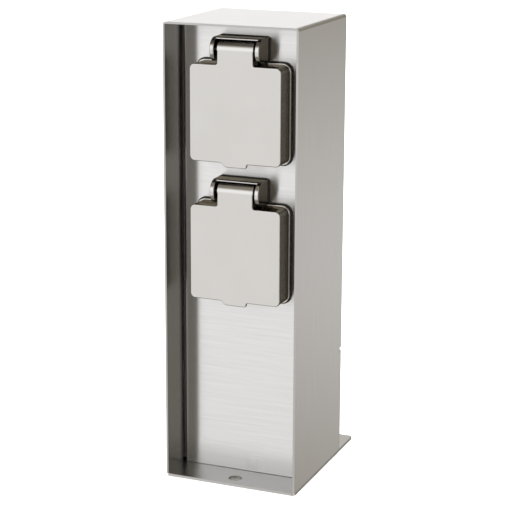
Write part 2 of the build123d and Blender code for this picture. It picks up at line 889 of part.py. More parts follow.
def barrel_screws():
    """One clamp screw for each barrel, reached from behind."""
    z = z_plate + block_height - barrel_length / 2
    head_seat = block_place + barrel_outer / 2
    screw = pan_screw(
        foot_screw_diameter, barrel_outer / 2, foot_head_diameter, foot_head_height
    )
    return [Pos(x, head_seat, z) * Rot(-90, 0, 0) * screw for x in pole_places()]


def block_screws():
    """The two screws that hold the block's feet to the plate."""
    seat = z_plate + block_foot
    screw = pan_screw(
        foot_screw_diameter, seat - foot_screw_end, foot_head_diameter, foot_head_height
    )
    return [
        Pos(side * foot_screw_pitch / 2, block_place, seat) * screw for side in (-1, 1)
    ]


def conductor(x, clamp_rise):
    """One conductor: block to lower socket, then lower socket to upper socket."""
    y_low = block_place
    y_high = y_panel + wire_y
    z_low = z_plate + block_height
    z_high = lower_centre + clamp_rise - terminal_height / 2
    climb = z_high - z_low
    side = wire_bow if x >= 0 else -wire_bow
    first = wire_run(
        [
            (x, y_low, z_low),
            (x, y_low, z_low + 0.2 * climb),
            (x + side, 0.7 * y_low + 0.3 * y_high, z_low + 0.42 * climb),
            (x + side, 0.25 * y_low + 0.75 * y_high, z_low + 0.63 * climb),
            (x, y_high, z_low + 0.83 * climb),
            (x, y_high, z_high),
        ],
        wire_diameter,
    )
    z_start = z_high + terminal_height
    z_end = upper_centre + clamp_rise - terminal_height / 2
    rise = z_end - z_start
    second = wire_run(
        [
            (x, y_high, z_start),
            (x, y_high, z_start + 0.25 * rise),
            (x + side, y_high + wire_bow, z_start + 0.5 * rise),
            (x, y_high, z_start + 0.75 * rise),
            (x, y_high, z_end),
        ],
        wire_diameter,
    )
    return [first, second]


def bond_stud():
    """Weld stud under the top for the protective bond."""
    return rod_z(stud_diameter, z_ceiling - stud_length, z_ceiling, y=bond_place)


def bond_lug():
    """Ring lug on the stud, its crimped barrel turned down towards the sockets."""
    half = lug_barrel / 2
    low = z_ceiling - lug_thickness
    barrel_y = bond_place - lug_reach
    lug = rod_z(lug_ring, low, z_ceiling, y=bond_place)
    lug += block(-half, half, barrel_y, bond_place, low, z_ceiling)
    lug += rod_z(lug_barrel, low - lug_height, z_ceiling, y=barrel_y)
    bore = stud_diameter + 2 * thread_clearance
    return lug - rod_z(bore, low - 1, z_ceiling + 1, y=bond_place)


def bond_nut():
    """Nut that presses the lug against the top."""
    low = z_ceiling - lug_thickness - nut_height
    return Pos(0, bond_place, low) * nut(nut_flats, nut_height, stud_diameter + 2 * thread_clearance)


def bond_wire():
    """Bond from the lug down to the upper socket's earth clamp."""
    y0 = bond_place - lug_reach
    y1 = y_panel + wire_y
    z0 = z_ceiling - lug_thickness - lug_height
    z1 = upper_centre + earth_rise + terminal_height / 2
    drop = z0 - z1
    return wire_run(
        [
            (0, y0, z0),
            (0, y0, z0 - 0.26 * drop),
            (bond_bow, (y0 + y1) / 2, z0 - drop / 2),
            (0, y1, z0 - 0.74 * drop),
            (0, y1, z1),
        ],
        wire_diameter,
    )


def export(name, pieces):
    """Write one named sub-part, as one solid or as a group of separate solids."""
    group = Compound(children=pieces) if isinstance(pieces, list) else pieces
    export_step(group, f"parts/{name}.step")


def at_socket(pieces, centre):
    """Move a socket piece from its own frame to its place on the panel."""
    place = Pos(0, y_panel, centre)
    return [place * piece for piece in pieces] if isinstance(pieces, list) else place * pieces


os.makedirs("parts", exist_ok=True)

export("housing", housing())
export("base_plate", base_plate())
export("front_panel", front_panel())
export("back_cover", back_cover())
export("cover_brackets", cover_brackets())
export("cover_screws", cover_screws())
export("cover_nuts", cover_nuts())
export("panel_studs", panel_studs())
export("panel_washers", panel_washers())
export("panel_nuts", panel_nuts())
export("cable_gland", cable_gland())
export("terminal_block", terminal_block())
export("terminal_barrels", terminal_barrels())
export("barrel_screws", barrel_screws())
export("block_screws", block_screws())
export("bond_stud", bond_stud())
export("bond_lug", bond_lug())
export("bond_nut", bond_nut())
export("bond_wire", bond_wire())
export("live_wire", conductor(-contact_x, 0))
export("neutral_wire", conductor(contact_x, 0))
export("earth_wire", conductor(0, earth_rise))

for level, centre in {"upper": upper_centre, "lower": lower_centre}.items():
    export(f"frame_{level}", at_socket(socket_frame(), centre))
    export(f"frame_seal_{level}", at_socket(frame_seal(), centre))
    export(f"lid_{level}", at_socket(lid(), centre))
    export(f"lid_seal_{level}", at_socket(lid_seal(), centre))
    export(f"hinge_pin_{level}", at_socket(hinge_pin(), centre))
    export(f"lid_spring_{level}", at_socket(lid_spring(), centre))
    export(f"insert_{level}", at_socket(insert(), centre))
    export(f"shutter_{level}", at_socket(shutter(), centre))
    export(f"shutter_spring_{level}", at_socket(shutter_spring(), centre))
    export(f"contact_carrier_{level}", at_socket(contact_carrier(), centre))
    export(f"contacts_{level}", at_socket(contacts(), centre))
    export(f"earth_pin_{level}", at_socket(earth_pin(), centre))
    export(f"contact_screws_{level}", at_socket(contact_screws(), centre))
    export(f"carrier_screws_{level}", at_socket(carrier_screws(), centre))

both = (upper_centre, lower_centre)
export("frame_screws", [screw for centre in both for screw in at_socket(frame_screws(), centre)])
export("frame_nuts", [piece for centre in both for piece in at_socket(frame_nuts(), centre)])
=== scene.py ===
import math

import bmesh
import bpy
from mathutils import Matrix, Vector


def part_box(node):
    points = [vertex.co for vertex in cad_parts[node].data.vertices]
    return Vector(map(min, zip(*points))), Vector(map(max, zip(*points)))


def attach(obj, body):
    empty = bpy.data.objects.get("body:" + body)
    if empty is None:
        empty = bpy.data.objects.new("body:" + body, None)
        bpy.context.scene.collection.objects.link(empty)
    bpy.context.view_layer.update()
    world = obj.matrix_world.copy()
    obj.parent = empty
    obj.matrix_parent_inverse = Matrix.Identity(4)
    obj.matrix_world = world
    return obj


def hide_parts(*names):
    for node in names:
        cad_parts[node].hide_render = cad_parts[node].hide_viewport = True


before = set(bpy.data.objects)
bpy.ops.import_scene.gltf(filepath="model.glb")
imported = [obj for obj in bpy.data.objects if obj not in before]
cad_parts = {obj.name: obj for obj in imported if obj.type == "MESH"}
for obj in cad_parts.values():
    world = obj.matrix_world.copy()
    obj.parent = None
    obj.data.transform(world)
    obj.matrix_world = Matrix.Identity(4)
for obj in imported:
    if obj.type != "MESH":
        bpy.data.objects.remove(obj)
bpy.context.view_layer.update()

# Base plate: 2 mm stainless plate, laser cut and brushed. It stands on the ground, carries the post
# and reaches out behind it as a tab, with a fixing hole at each end. Its cut edges are duller and
# darker, the side ones most. The walls of its holes are rougher and darkened with painted shade.


class Level:
    """A number that changes over a surface. Sums and products of levels become Math nodes."""

    def __init__(self, finish, socket):
        self.finish = finish
        self.socket = socket

    def worked(self, operation, first, second):
        values = {0: first, 1: second}
        return self.finish.node("ShaderNodeMath", "Value", {"operation": operation}, values)

    def __add__(self, other):
        return self.worked("ADD", self, other)

    def __radd__(self, other):
        return self.worked("ADD", other, self)

    def __sub__(self, other):
        return self.worked("SUBTRACT", self, other)

    def __rsub__(self, other):
        return self.worked("SUBTRACT", other, self)

    def __mul__(self, other):
        return self.worked("MULTIPLY", self, other)

    def __rmul__(self, other):
        return self.worked("MULTIPLY", other, self)


class Finish:
    """One surface finish: its nodes, from the pattern on the surface to the shader."""

    def __init__(self, name):
        self.material = bpy.data.materials.new(name)
        self.material.use_nodes = True
        self.tree = self.material.node_tree
        self.tree.nodes.clear()

    def node(self, kind, out, settings, values):
        """Makes a node with its settings, then its values or links, and gives that output."""
        made = self.tree.nodes.new(kind)
        for name, value in settings.items():
            if name == "stops":
                ramp = made.color_ramp
                while len(ramp.elements) < len(value):
                    ramp.elements.new(1.0)
                for element, (place, colour) in zip(ramp.elements, value):
                    element.position = place
                    element.color = (*colour, 1.0)
            else:
                setattr(made, name, value)
        for name, value in values.items():
            if isinstance(value, Level):
                self.tree.links.new(value.socket, made.inputs[name])
            else:
                made.inputs[name].default_value = value
        return Level(self, made.outputs[out])

    def place(self):
        """Where a point is on the object, in metres."""
        return self.node("ShaderNodeTexCoord", "Object", {}, {})

    def clouds(self, where, per_metre, detail=2.0, rough=0.5):
        """Noise from 0 to 1, with its own count of blotches per metre along x, y and z."""
        at = self.node("ShaderNodeMapping", "Vector", {}, {"Vector": where, "Scale": per_metre})
        values = {"Vector": at, "Scale": 1.0, "Detail": detail, "Roughness": rough}
        return self.node("ShaderNodeTexNoise", "Fac", {}, values)

    def between(self, level, low, high, start=0.0, end=1.0):
        """The level, stretched so that low gives start and high gives end, and held there."""
        values = {"Value": level, 1: low, 2: high, 3: start, 4: end}
        return self.node("ShaderNodeMapRange", "Result", {"clamp": True}, values)

    def colours(self, level, stops):
        """The colour of the level on a ramp with those stops."""
        return self.node("ShaderNodeValToRGB", "Color", {"stops": stops}, {"Fac": level})

    def part(self, vector, axis):
        """A place or a direction along one axis."""
        return self.node("ShaderNodeSeparateXYZ", axis, {}, {"Vector": vector})

    def mixed(self, share, first, second):
        """One colour going over into another as the share goes from 0 to 1."""
        values = {"Factor": share, 6: first, 7: second}
        return self.node("ShaderNodeMix", 2, {"data_type": "RGBA"}, values)

    def relief(self, height, depth):
        """Normals of a surface whose height goes from 0 to the depth, in metres."""
        values = {"Height": height, "Distance": depth, "Strength": 1.0}
        return self.node("ShaderNodeBump", "Normal", {}, values)

    def shade(self, **values):
        """The shader. Socket names are written with underscores for their spaces."""
        named = {name.replace("_", " "): value for name, value in values.items()}
        shader = self.node("ShaderNodeBsdfPrincipled", "BSDF", {}, named)
        end = self.tree.nodes.new("ShaderNodeOutputMaterial")
        self.tree.links.new(shader.socket, end.inputs["Surface"])
        return self


def dress(finish, *nodes):
    """Gives carried-over CAD nodes a finish."""
    for name in nodes:
        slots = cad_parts[name].material_slots
        if not slots:
            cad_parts[name].data.materials.append(finish.material)
        for slot in slots:
            slot.material = finish.material


def brushed_sheet(name, along, tone, rough, depth, stretch=0.0, turn=0.0, cuts=(), shaded_holes=()):
    """Stainless sheet with its grain along the named axes and fine lines across the others.
    Stretch and turn draw its highlights out across the grain. Cuts are duller and darker
    edges: an axis, where they lie on it, and the share of the tone that they keep. Holes have
    the place of their middle and the reach round it of their rougher wall, darkened as painted
    shade."""
    steel = Finish(name)
    where = steel.place()
    lines = [60.0 if axis in along else 4200.0 for axis in "xyz"]
    bands = [22.0 if axis in along else 800.0 for axis in "xyz"]
    fine = steel.clouds(where, lines, 3.0, 0.6)
    broad = steel.clouds(where, bands)
    smudge = steel.clouds(where, (9.0, 9.0, 9.0))
    colour = steel.colours(broad * 0.75 + smudge * 0.25, [
        (0.0, (tone * 0.90, tone * 0.89, tone * 0.875)),
        (1.0, (tone * 1.10, tone * 1.095, tone * 1.085)),
    ])
    roughness = rough + (broad - 0.5) * 0.04 + (smudge - 0.5) * 0.04
    blur = 0.0002
    for axis, low, high, share in cuts:
        level = steel.part(where, axis)
        inside = steel.between(level, low, low + blur)
        inside = inside * steel.between(level, high - blur, high, 1.0, 0.0)
        dull = (tone * share, tone * share * 0.985, tone * share * 0.96, 1.0)
        colour = steel.mixed(inside, dull, colour)
        roughness = roughness + (1.0 - inside) * 0.12
    # Painted shade: each hole's wall is darkened in colour, and also made rougher.
    for middle, reach in shaded_holes:
        apart = steel.node(
            "ShaderNodeVectorMath", "Value", {"operation": "DISTANCE"}, {0: where, 1: middle})
        outside = steel.between(apart, reach, reach + blur / 2.0)
        colour = steel.mixed(outside, (tone * 0.5, tone * 0.49, tone * 0.47, 1.0), colour)
        roughness = roughness + (1.0 - outside) * 0.25
    return steel.shade(
        Base_Color=colour, Metallic=1.0, Roughness=roughness, Anisotropic=stretch,
        Anisotropic_Rotation=turn, Normal=steel.relief(fine, depth))


plate_x = 0.05
plate_y = 0.0625
# The side cut edges keep half the tone, the front and back cut edges three quarters.
plate_cuts = (("X", -plate_x, plate_x, 0.5), ("Y", -plate_y, plate_y, 0.75))
hole_y = 0.052
hole_reach = 0.00462
plate_shaded_holes = (((0.0, -hole_y, 0.001), hole_reach), ((0.0, hole_y, 0.001), hole_reach))
sheet_plate = brushed_sheet(
    "brushed_plate", "xz", tone=0.53, rough=0.30, depth=8e-6, cuts=plate_cuts, shaded_holes=plate_shaded_holes)
dress(sheet_plate, "base_plate")

# Cable bush: black rubber, pressed into the hole in the middle of the plate. It is turned about the
# cable, with a groove in its flange and a thin sloping lip round the opening. New pieces are drawn
# in mm, of which a metre has 1000.

metre = 1000.0


def stand(foot, along):
    """Places a piece drawn in mm with its foot there and its axis along that direction."""
    turn = Vector(along).to_track_quat("Z", "Y").to_matrix().to_4x4()
    return Matrix.Translation(Vector(foot) / metre) @ turn @ Matrix.Scale(1.0 / metre, 4)


def turned(profile, steps):
    """A piece as from a lathe: points of its profile, radius and height in mm, spun round."""
    shape = bmesh.new()
    corners = [shape.verts.new((radius, 0.0, height)) for radius, height in profile]
    lines = [shape.edges.new(pair) for pair in zip(corners, corners[1:])]
    if profile[0][0] > 0.0:
        lines.append(shape.edges.new((corners[-1], corners[0])))
    bmesh.ops.spin(
        shape, geom=corners + lines, cent=(0.0, 0.0, 0.0), axis=(0.0, 0.0, 1.0),
        angle=2.0 * math.pi, steps=steps, use_merge=True)
    bmesh.ops.remove_doubles(shape, verts=shape.verts, dist=0.0001)
    bmesh.ops.recalc_face_normals(shape, faces=shape.faces)
    return shape


def piece(name, shape, places, finish, body, slot, *stands_for):
    """Sets the shape at each of its places as one piece, and lets it ride on its body."""
    single = bpy.data.meshes.new("drawn")
    shape.to_mesh(single)
    shape.free()
    whole = bmesh.new()
    for place in places:
        copy = single.copy()
        copy.transform(place)
        whole.from_mesh(copy)
        bpy.data.meshes.remove(copy)
    bpy.data.meshes.remove(single)
    mesh = bpy.data.meshes.new(name)
    whole.to_mesh(mesh)
    whole.free()
    mesh.shade_smooth()
    mesh.set_sharp_from_angle(angle=math.radians(38.0))
    mesh.materials.append(finish.material)
    made = bpy.data.objects.new(name, mesh)
    bpy.context.scene.collection.objects.link(made)
    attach(made, body)
    if stands_for:
        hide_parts(*stands_for)
    return made


def rubber(name):
    """Black rubber, finely grained, with a little dust on it."""
    black = Finish(name)
    where = black.place()
    dust = black.clouds(where, (160.0, 160.0, 160.0), 3.0, 0.6)
    grain = black.clouds(where, (2600.0, 2600.0, 2600.0))
    colour = black.colours(dust, [(0.35, (0.012, 0.011, 0.010)), (0.8, (0.030, 0.028, 0.026))])
    return black.shade(
        Base_Color=colour, Metallic=0.0, Roughness=0.5 + grain * 0.2,
        Normal=black.relief(grain, 2e-5))


black_rubber = rubber("black_rubber")
bush_profile = [
    (4.75, 0.5), (5.3, 0.0), (9.5, 0.0), (9.95, 0.4), (9.95, 2.0), (12.7, 2.0), (13.0, 2.4),
    (13.0, 4.2), (12.7, 4.8), (12.1, 5.0), (11.2, 5.0), (10.9, 4.6), (10.4, 4.6), (10.1, 5.0),
    (8.6, 5.0), (7.6, 4.5), (6.4, 3.6), (5.4, 3.3), (4.75, 3.5),
]
up = (0.0, 0.0, 1.0)
piece("cable_bush", turned(bush_profile, 48), [stand((0.0, 0.0, 0.0), up)], black_rubber,
      "post", "black_rubber", "cable_gland")

# Housing: left wall, top and right wall, bent from one 1.5 mm stainless sheet with the grain along
# the strip. Its lower edges stand on the plate, held by short weld beads inside, behind the panel.

wall_back = 0.033
wall_cuts = (("Y", -plate_y, wall_back, 0.82),)
sheet_housing = brushed_sheet(
    "brushed_housing", "xz", tone=0.41, rough=0.22, depth=1.2e-5, cuts=wall_cuts)
dress(sheet_housing, "housing")


def weld_bead(lobes, pitch, radius):
    """Overlapping drops of weld metal in a row along y."""
    shape = bmesh.new()
    squeeze = Matrix.Diagonal((0.9, 0.75, 0.9, 1.0))
    for lobe in range(lobes):
        along = (lobe - (lobes - 1) / 2) * pitch
        drop = Matrix.Translation((0.0, along, 0.0)) @ squeeze
        bmesh.ops.create_uvsphere(shape, u_segments=14, v_segments=8, radius=radius, matrix=drop)
    return shape


def weld_metal():
    """Bare weld, rough as cast, with straw and blue heat colours."""
    weld = Finish("weld_metal")
    where = weld.place()
    scale = weld.clouds(where, (1400.0, 1400.0, 1400.0), 3.0, 0.6)
    heat = weld.clouds(where, (260.0, 260.0, 260.0))
    colour = weld.colours(heat, [
        (0.25, (0.20, 0.21, 0.25)), (0.5, (0.36, 0.34, 0.31)), (0.75, (0.42, 0.33, 0.20))])
    return weld.shade(
        Base_Color=colour, Metallic=1.0, Roughness=0.3 + scale * 0.25,
        Normal=weld.relief(scale, 4e-5))


bead_x = 48.1
bead_pitch = 14.0
bead_height = 2.4
bead_places = []
for x in (-bead_x, bead_x):
    for y in (-bead_pitch, 0.0, bead_pitch):
        bead_places.append(stand((x, y, bead_height), up))
bead = weld_bead(lobes=7, pitch=1.3, radius=1.2)
piece("weld_beads", bead, bead_places, weld_metal(), "post", "brushed_sheet")

# Cover brackets: four small angles of the same sheet, two welded under the top and two on the
# plate. A zinc-plated nut is welded to the front of each for a screw of the back cover.

dress(sheet_housing, "cover_brackets")


def zinc_plate():
    """Bright zinc plating with fine mottling."""
    zinc = Finish("zinc_plate")
    where = zinc.place()
    mottle = zinc.clouds(where, (900.0, 900.0, 900.0), 3.0, 0.6)
    wear = zinc.clouds(where, (240.0, 240.0, 240.0))
    colour = zinc.colours(mottle, [(0.3, (0.50, 0.51, 0.52)), (0.7, (0.66, 0.66, 0.65))])
    return zinc.shade(
        Base_Color=colour, Metallic=1.0, Roughness=0.22 + wear * 0.2,
        Normal=zinc.relief(mottle, 1e-5))


zinc = zinc_plate()
dress(zinc, "cover_nuts")

# Front panel: 1.5 mm stainless with the grain across it, set back between the walls, bent back at
# its sides and cut straight at its ends. A flange turned back inside each end is held by two
# threaded weld studs, on washers, under nuts.

sheet_panel = brushed_sheet(
    "brushed_panel", "xy", tone=0.50, rough=0.25, depth=2e-6, stretch=0.95, turn=0.25)
dress(sheet_panel, "front_panel")


def threaded_stud(length, radius, pitch):
    """A stud with its foot at zero: a plain shank, then ridges up to its chamfered end."""
    shank = 1.2
    root = radius * 0.87
    profile = [(0.0, 0.0), (radius, 0.0), (radius, shank)]
    height = shank
    while height < length - 1.5 * pitch:
        profile += [(root, height + 0.45 * pitch), (radius, height + pitch)]
        height += pitch
    profile += [(root, height + 0.45 * pitch), (radius * 0.72, length), (0.0, length)]
    return turned(profile, 24)


plate_top = 2.0
ceiling = 330.5
down = (0.0, 0.0, -1.0)
stud_x = 30.0
stud_y = -27.3
stud_sizes = {"length": 12.0, "radius": 2.0, "pitch": 0.7}
stud_places = []
for x in (-stud_x, stud_x):
    stud_places.append(stand((x, stud_y, plate_top), up))
    stud_places.append(stand((x, stud_y, ceiling), down))
piece("threaded_studs", threaded_stud(**stud_sizes), stud_places, sheet_panel, "post",
      "brushed_sheet", "panel_studs")
dress(zinc, "panel_nuts", "panel_washers")

# Gap shade strips: dark foam strips along the panel's side bends, set in the gaps to the walls as
# painted shade there. Each is cut square, a little rounded where it swells out of the joint.


def gap_shade_strip(width, depth, length):
    """A strip along z about its middle, with softly rounded edges."""
    shape = bmesh.new()
    bmesh.ops.create_cube(shape, size=1.0, matrix=Matrix.Diagonal((width, depth, length, 1.0)))
    bmesh.ops.bevel(
        shape, geom=shape.edges[:], offset=0.35, affect="EDGES", segments=3, profile=0.5,
        material=-1)
    return shape


def foam(name):
    """Matt black foam with fine cells."""
    tape = Finish(name)
    where = tape.place()
    cells = tape.clouds(where, (2200.0, 2200.0, 2200.0), 3.0, 0.6)
    colour = tape.colours(cells, [(0.3, (0.030, 0.024, 0.020)), (0.7, (0.048, 0.040, 0.034))])
    return tape.shade(
        Base_Color=colour, Metallic=0.0, Roughness=0.75 + cells * 0.1,
        Normal=tape.relief(cells, 4e-5))


strip_x = 47.85
strip_y = -31.2
strip_middle = 166.2
strip_places = [stand((x, strip_y, strip_middle), up) for x in (-strip_x, strip_x)]
strip = gap_shade_strip(width=1.3, depth=5.0, length=324.0)
# Painted shade: dark strips that fill the gaps between the panel and the walls.
piece("gap_shade_strips", strip, strip_places, foam("gap_shade_foam"), "post", "black_rubber")

# Connector block: cream moulded plastic with three brass barrels and their clamp screws. It stands
# on the plate behind the sockets and is screwed down by its two feet.


def moulded(name, dark, light, rough=0.45):
    """Moulded plastic with a fine spark-eroded grain, its colour drifting a little."""
    plastic = Finish(name)
    where = plastic.place()
    spark = plastic.clouds(where, (3000.0, 3000.0, 3000.0))
    flow = plastic.clouds(where, (70.0, 70.0, 70.0))
    colour = plastic.colours(flow, [(0.3, dark), (0.7, light)])
    return plastic.shade(
        Base_Color=colour, Metallic=0.0, Roughness=rough + spark * 0.1,
        Normal=plastic.relief(spark, 1.5e-5))


def brass(name, low, high, rough=0.25):
    """Turned or stamped metal, slightly tarnished, between two colours."""
    metal = Finish(name)
    where = metal.place()
    tarnish = metal.clouds(where, (140.0, 140.0, 140.0), 4.0, 0.6)
    colour = metal.colours(tarnish, [(0.3, low), (0.7, high)])
    return metal.shade(
        Base_Color=colour, Metallic=1.0, Roughness=rough + tarnish * 0.12,
        Normal=metal.relief(tarnish, 2e-5))


block_plastic = moulded("block_plastic", (0.70, 0.69, 0.64), (0.78, 0.77, 0.73))
contact_brass = brass("contact_brass", (0.60, 0.43, 0.19), (0.76, 0.58, 0.28))
dress(block_plastic, "terminal_block")
dress(contact_brass, "terminal_barrels")
dress(zinc, "barrel_screws", "block_screws")

# Socket frames: zinc castings, bright nickel plated, each with a hood of two ears and a roof over
# the hinge. A flat black rubber seal lies between each frame and the panel, a little proud. Levels
# are the heights of the sockets' middles in mm.

levels = {"upper": 268.9, "lower": 169.3}


def nickel(name, tone, rough, grain_depth, sides=None, edge=(1.0, 1.0, 1.0, 1.0)):
    """Plated metal. Sides are where a lid's face and shoulder lie; its sides behind the face and
    below the shoulder are smoother and darkened with painted shade. Edge is the tint of a glancing
    look."""
    metal = Finish(name)
    where = metal.place()
    pearl = metal.clouds(where, (2400.0, 2400.0, 2400.0), 3.0, 0.6)
    drift = metal.clouds(where, (40.0, 40.0, 40.0))
    colour = metal.colours(drift, [
        (0.0, (tone * 0.96, tone * 0.94, tone * 0.90)),
        (1.0, (tone * 1.04, tone * 1.02, tone * 0.98)),
    ])
    roughness = rough + (drift - 0.5) * 0.05
    if sides:
        face, shoulder = sides
        start = face + 0.0005
        blur = 0.0004
        behind = metal.between(metal.part(where, "Y"), start, start + blur)
        below = metal.between(metal.part(where, "Z"), shoulder, shoulder + blur, 1.0, 0.0)
        side_shade = behind * below
        # Painted shade: the lid's sides are darker than its face; they are also made smoother.
        colour = metal.mixed(side_shade, colour, (tone * 0.88, tone * 0.85, tone * 0.79, 1.0))
        roughness = roughness - side_shade * 0.10
    return metal.shade(
        Base_Color=colour, Metallic=1.0, Roughness=roughness, Specular_Tint=edge,
        Normal=metal.relief(pearl, grain_depth))


dark_edge = (0.30, 0.27, 0.22, 1.0)
bright_nickel = nickel("bright_nickel", tone=0.42, rough=0.13, grain_depth=4e-6, edge=dark_edge)
for level in levels:
    dress(bright_nickel, f"frame_{level}")
    dress(black_rubber, f"frame_seal_{level}")

# Inserts: black moulded bodies, each with the plug recess and its floor. Low rims stand round the
# three openings of the floor. Behind it a white shutter slides on a thin spring.

insert_plastic = moulded("insert_plastic", (0.020, 0.020, 0.021), (0.032, 0.032, 0.033), 0.40)
shutter_plastic = moulded("shutter_plastic", (0.62, 0.61, 0.58), (0.70, 0.69, 0.66), 0.35)
spring_steel = nickel("spring_steel", tone=0.50, rough=0.2, grain_depth=1e-5)
rim_profile = [(2.75, 0.0), (2.75, 0.25), (2.9, 0.4), (3.5, 0.4), (3.75, 0.3), (3.9, 0.0)]
recess_floor = -34.4
contact_x = 9.5
earth_rise = 10.0
openings = ((-contact_x, 0.0), (contact_x, 0.0), (0.0, earth_rise))
forward = (0.0, -1.0, 0.0)
for level, middle in levels.items():
    dress(insert_plastic, f"insert_{level}")
    rim_places = []
    for x, rise in openings:
        rim_places.append(stand((x, recess_floor, middle + rise), forward))
    piece(f"entry_rims_{level}", turned(rim_profile, 32), rim_places, insert_plastic, "post",
          "insert_plastic")
    dress(shutter_plastic, f"shutter_{level}")
    dress(spring_steel, f"shutter_spring_{level}")

# Contact carriers: black blocks that close the inserts from behind, held by two screws each. They
# carry the brass contacts and the plated earth pin, each with a clamp and its screw.

pin_plate = brass("pin_plate", (0.58, 0.56, 0.50), (0.68, 0.66, 0.60), 0.18)
for level in levels:
    dress(insert_plastic, f"contact_carrier_{level}")
    dress(contact_brass, f"contacts_{level}")
    dress(pin_plate, f"earth_pin_{level}")
    dress(zinc, f"contact_screws_{level}", f"carrier_screws_{level}")

# Frame screws: four zinc-plated screws with cross recesses go through the corners of each frame,
# its seal and the panel. Their nuts sit behind the panel.

dress(zinc, "frame_screws", "frame_nuts")

# Lids: zinc castings in satin nickel, smoother on their sides, which also carry a painted shade.
# Each turns on a steel pin through the ears, peened on the left, and a coil spring closes it. A
# rubber ring with two soft lips seals it.

lid_face = -0.0533
lid_shoulder = 34.2
ring_front = -51.7
backward = (0.0, 1.0, 0.0)
to_the_right = (1.0, 0.0, 0.0)
seal_profile = [
    (23.0, 0.0), (27.0, 0.0), (27.0, 1.5), (26.7, 1.9), (26.1, 1.9), (25.8, 1.3), (25.0, 1.1),
    (24.2, 1.3), (23.9, 1.9), (23.3, 1.9), (23.0, 1.5),
]
for level, middle in levels.items():
    shaded_lid_sides = (lid_face, (middle + lid_shoulder) / metre)
    satin_nickel = nickel(
        f"satin_nickel_{level}", tone=0.43, rough=0.22, grain_depth=1.2e-5, sides=shaded_lid_sides,
        edge=dark_edge)
    dress(satin_nickel, f"lid_{level}")
    seal_place = stand((0.0, ring_front, middle), backward)
    piece(f"lid_ring_{level}", turned(seal_profile, 64), [seal_place], black_rubber,
          f"lid_{level}", "black_rubber", f"lid_seal_{level}")
    low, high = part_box(f"hinge_pin_{level}")
    reach = (high.x - low.x) * metre
    pin_profile = [
        (0.0, -0.1), (0.3, -0.25), (0.7, -0.3), (1.15, -0.2), (1.45, 0.1), (1.5, 0.4),
        (1.5, reach - 0.4), (1.1, reach), (0.0, reach),
    ]
    pin_foot = (low.x * metre, (low.y + high.y) / 2.0 * metre, (low.z + high.z) / 2.0 * metre)
    pin_place = stand(pin_foot, to_the_right)
    piece(f"peened_pin_{level}", turned(pin_profile, 32), [pin_place], spring_steel, "post",
          "spring_steel", f"hinge_pin_{level}")
    dress(spring_steel, f"lid_spring_{level}")

# Wires: copper conductors in coloured sleeves from the block to the lower socket and on to the
# upper one. The earth has yellow bands on green. A white ferrule collar sits at each clamp.


def banded(name, ground, band, across, upwards):
    """A sleeve with slanting bands of a second colour, so many to a metre across and upwards."""
    sleeve = Finish(name)
    where = sleeve.place()
    slant = sleeve.part(where, "X") * across + sleeve.part(where, "Z") * upwards
    turns = sleeve.node("ShaderNodeMath", "Value", {"operation": "FRACT"}, {0: slant})
    banding = sleeve.between(turns, 0.64, 0.68) * sleeve.between(turns, 0.96, 1.0, 1.0, 0.0)
    spark = sleeve.clouds(where, (1800.0, 1800.0, 1800.0))
    return sleeve.shade(
        Base_Color=sleeve.mixed(banding, ground, band), Metallic=0.0,
        Roughness=0.36 + spark * 0.1, Normal=sleeve.relief(spark, 1.5e-5))


live_sleeve = moulded("live_sleeve", (0.17, 0.07, 0.03), (0.23, 0.10, 0.05), 0.35)
neutral_sleeve = moulded("neutral_sleeve", (0.03, 0.13, 0.42), (0.05, 0.18, 0.50), 0.35)
green = (0.10, 0.33, 0.06, 1.0)
yellow = (0.80, 0.62, 0.05, 1.0)
earth_sleeve = banded("earth_sleeve", green, yellow, across=260.0, upwards=150.0)
dress(live_sleeve, "live_wire")
dress(neutral_sleeve, "neutral_wire")
dress(earth_sleeve, "earth_wire")
collar_profile = [
    (1.42, 0.0), (1.9, 0.0), (1.95, 0.4), (1.95, 3.6), (2.3, 4.8), (2.1, 5.0), (1.7, 4.0),
    (1.42, 3.8),
]
block_y = 22.0
block_top = 20.0
clamp_half = 5.0
clamp_y = -4.8
collar_feet = []
for x, rise in openings:
    lower = levels["lower"] + rise
    upper = levels["upper"] + rise
    collar_feet.append(((x, block_y, block_top), up))
    collar_feet.append(((x, clamp_y, lower - clamp_half), down))
    collar_feet.append(((x, clamp_y, lower + clamp_half), up))
    collar_feet.append(((x, clamp_y, upper - clamp_half), down))
collar_places = [stand(*foot) for foot in collar_feet]
piece("ferrule_collars", turned(collar_profile, 20), collar_places, block_plastic, "post",
      "block_plastic")

# Protective bond: a threaded weld stud under the top, a tinned ring lug pressed on it by a nut, and
# an earth wire from the lug down to the upper socket's pin.

bond_y = 20.0
bond_place = stand((0.0, bond_y, ceiling), down)
piece("threaded_bond_stud", threaded_stud(**stud_sizes), [bond_place], sheet_panel, "post",
      "brushed_sheet", "bond_stud")
dress(pin_plate, "bond_lug")
dress(zinc, "bond_nut")
dress(earth_sleeve, "bond_wire")

# Back cover: a channel of the same sheet with its grain upright, hooked into the walls below and
# held by two screws above and two below, from behind.

sheet_cover = brushed_sheet("brushed_cover", "yz", tone=0.42, rough=0.26, depth=1.2e-5)
dress(sheet_cover, "back_cover")
dress(zinc, "cover_screws")

# Studio: a white paper bowl under a wide lamp, which the metal doesn't mirror. It mirrors a dim
# warm room with soft white cards round it. The paper under the plate is darkened with a painted
# shade. The camera stands where the photograph was taken.

bpy.context.scene.view_settings.view_transform = "Standard"

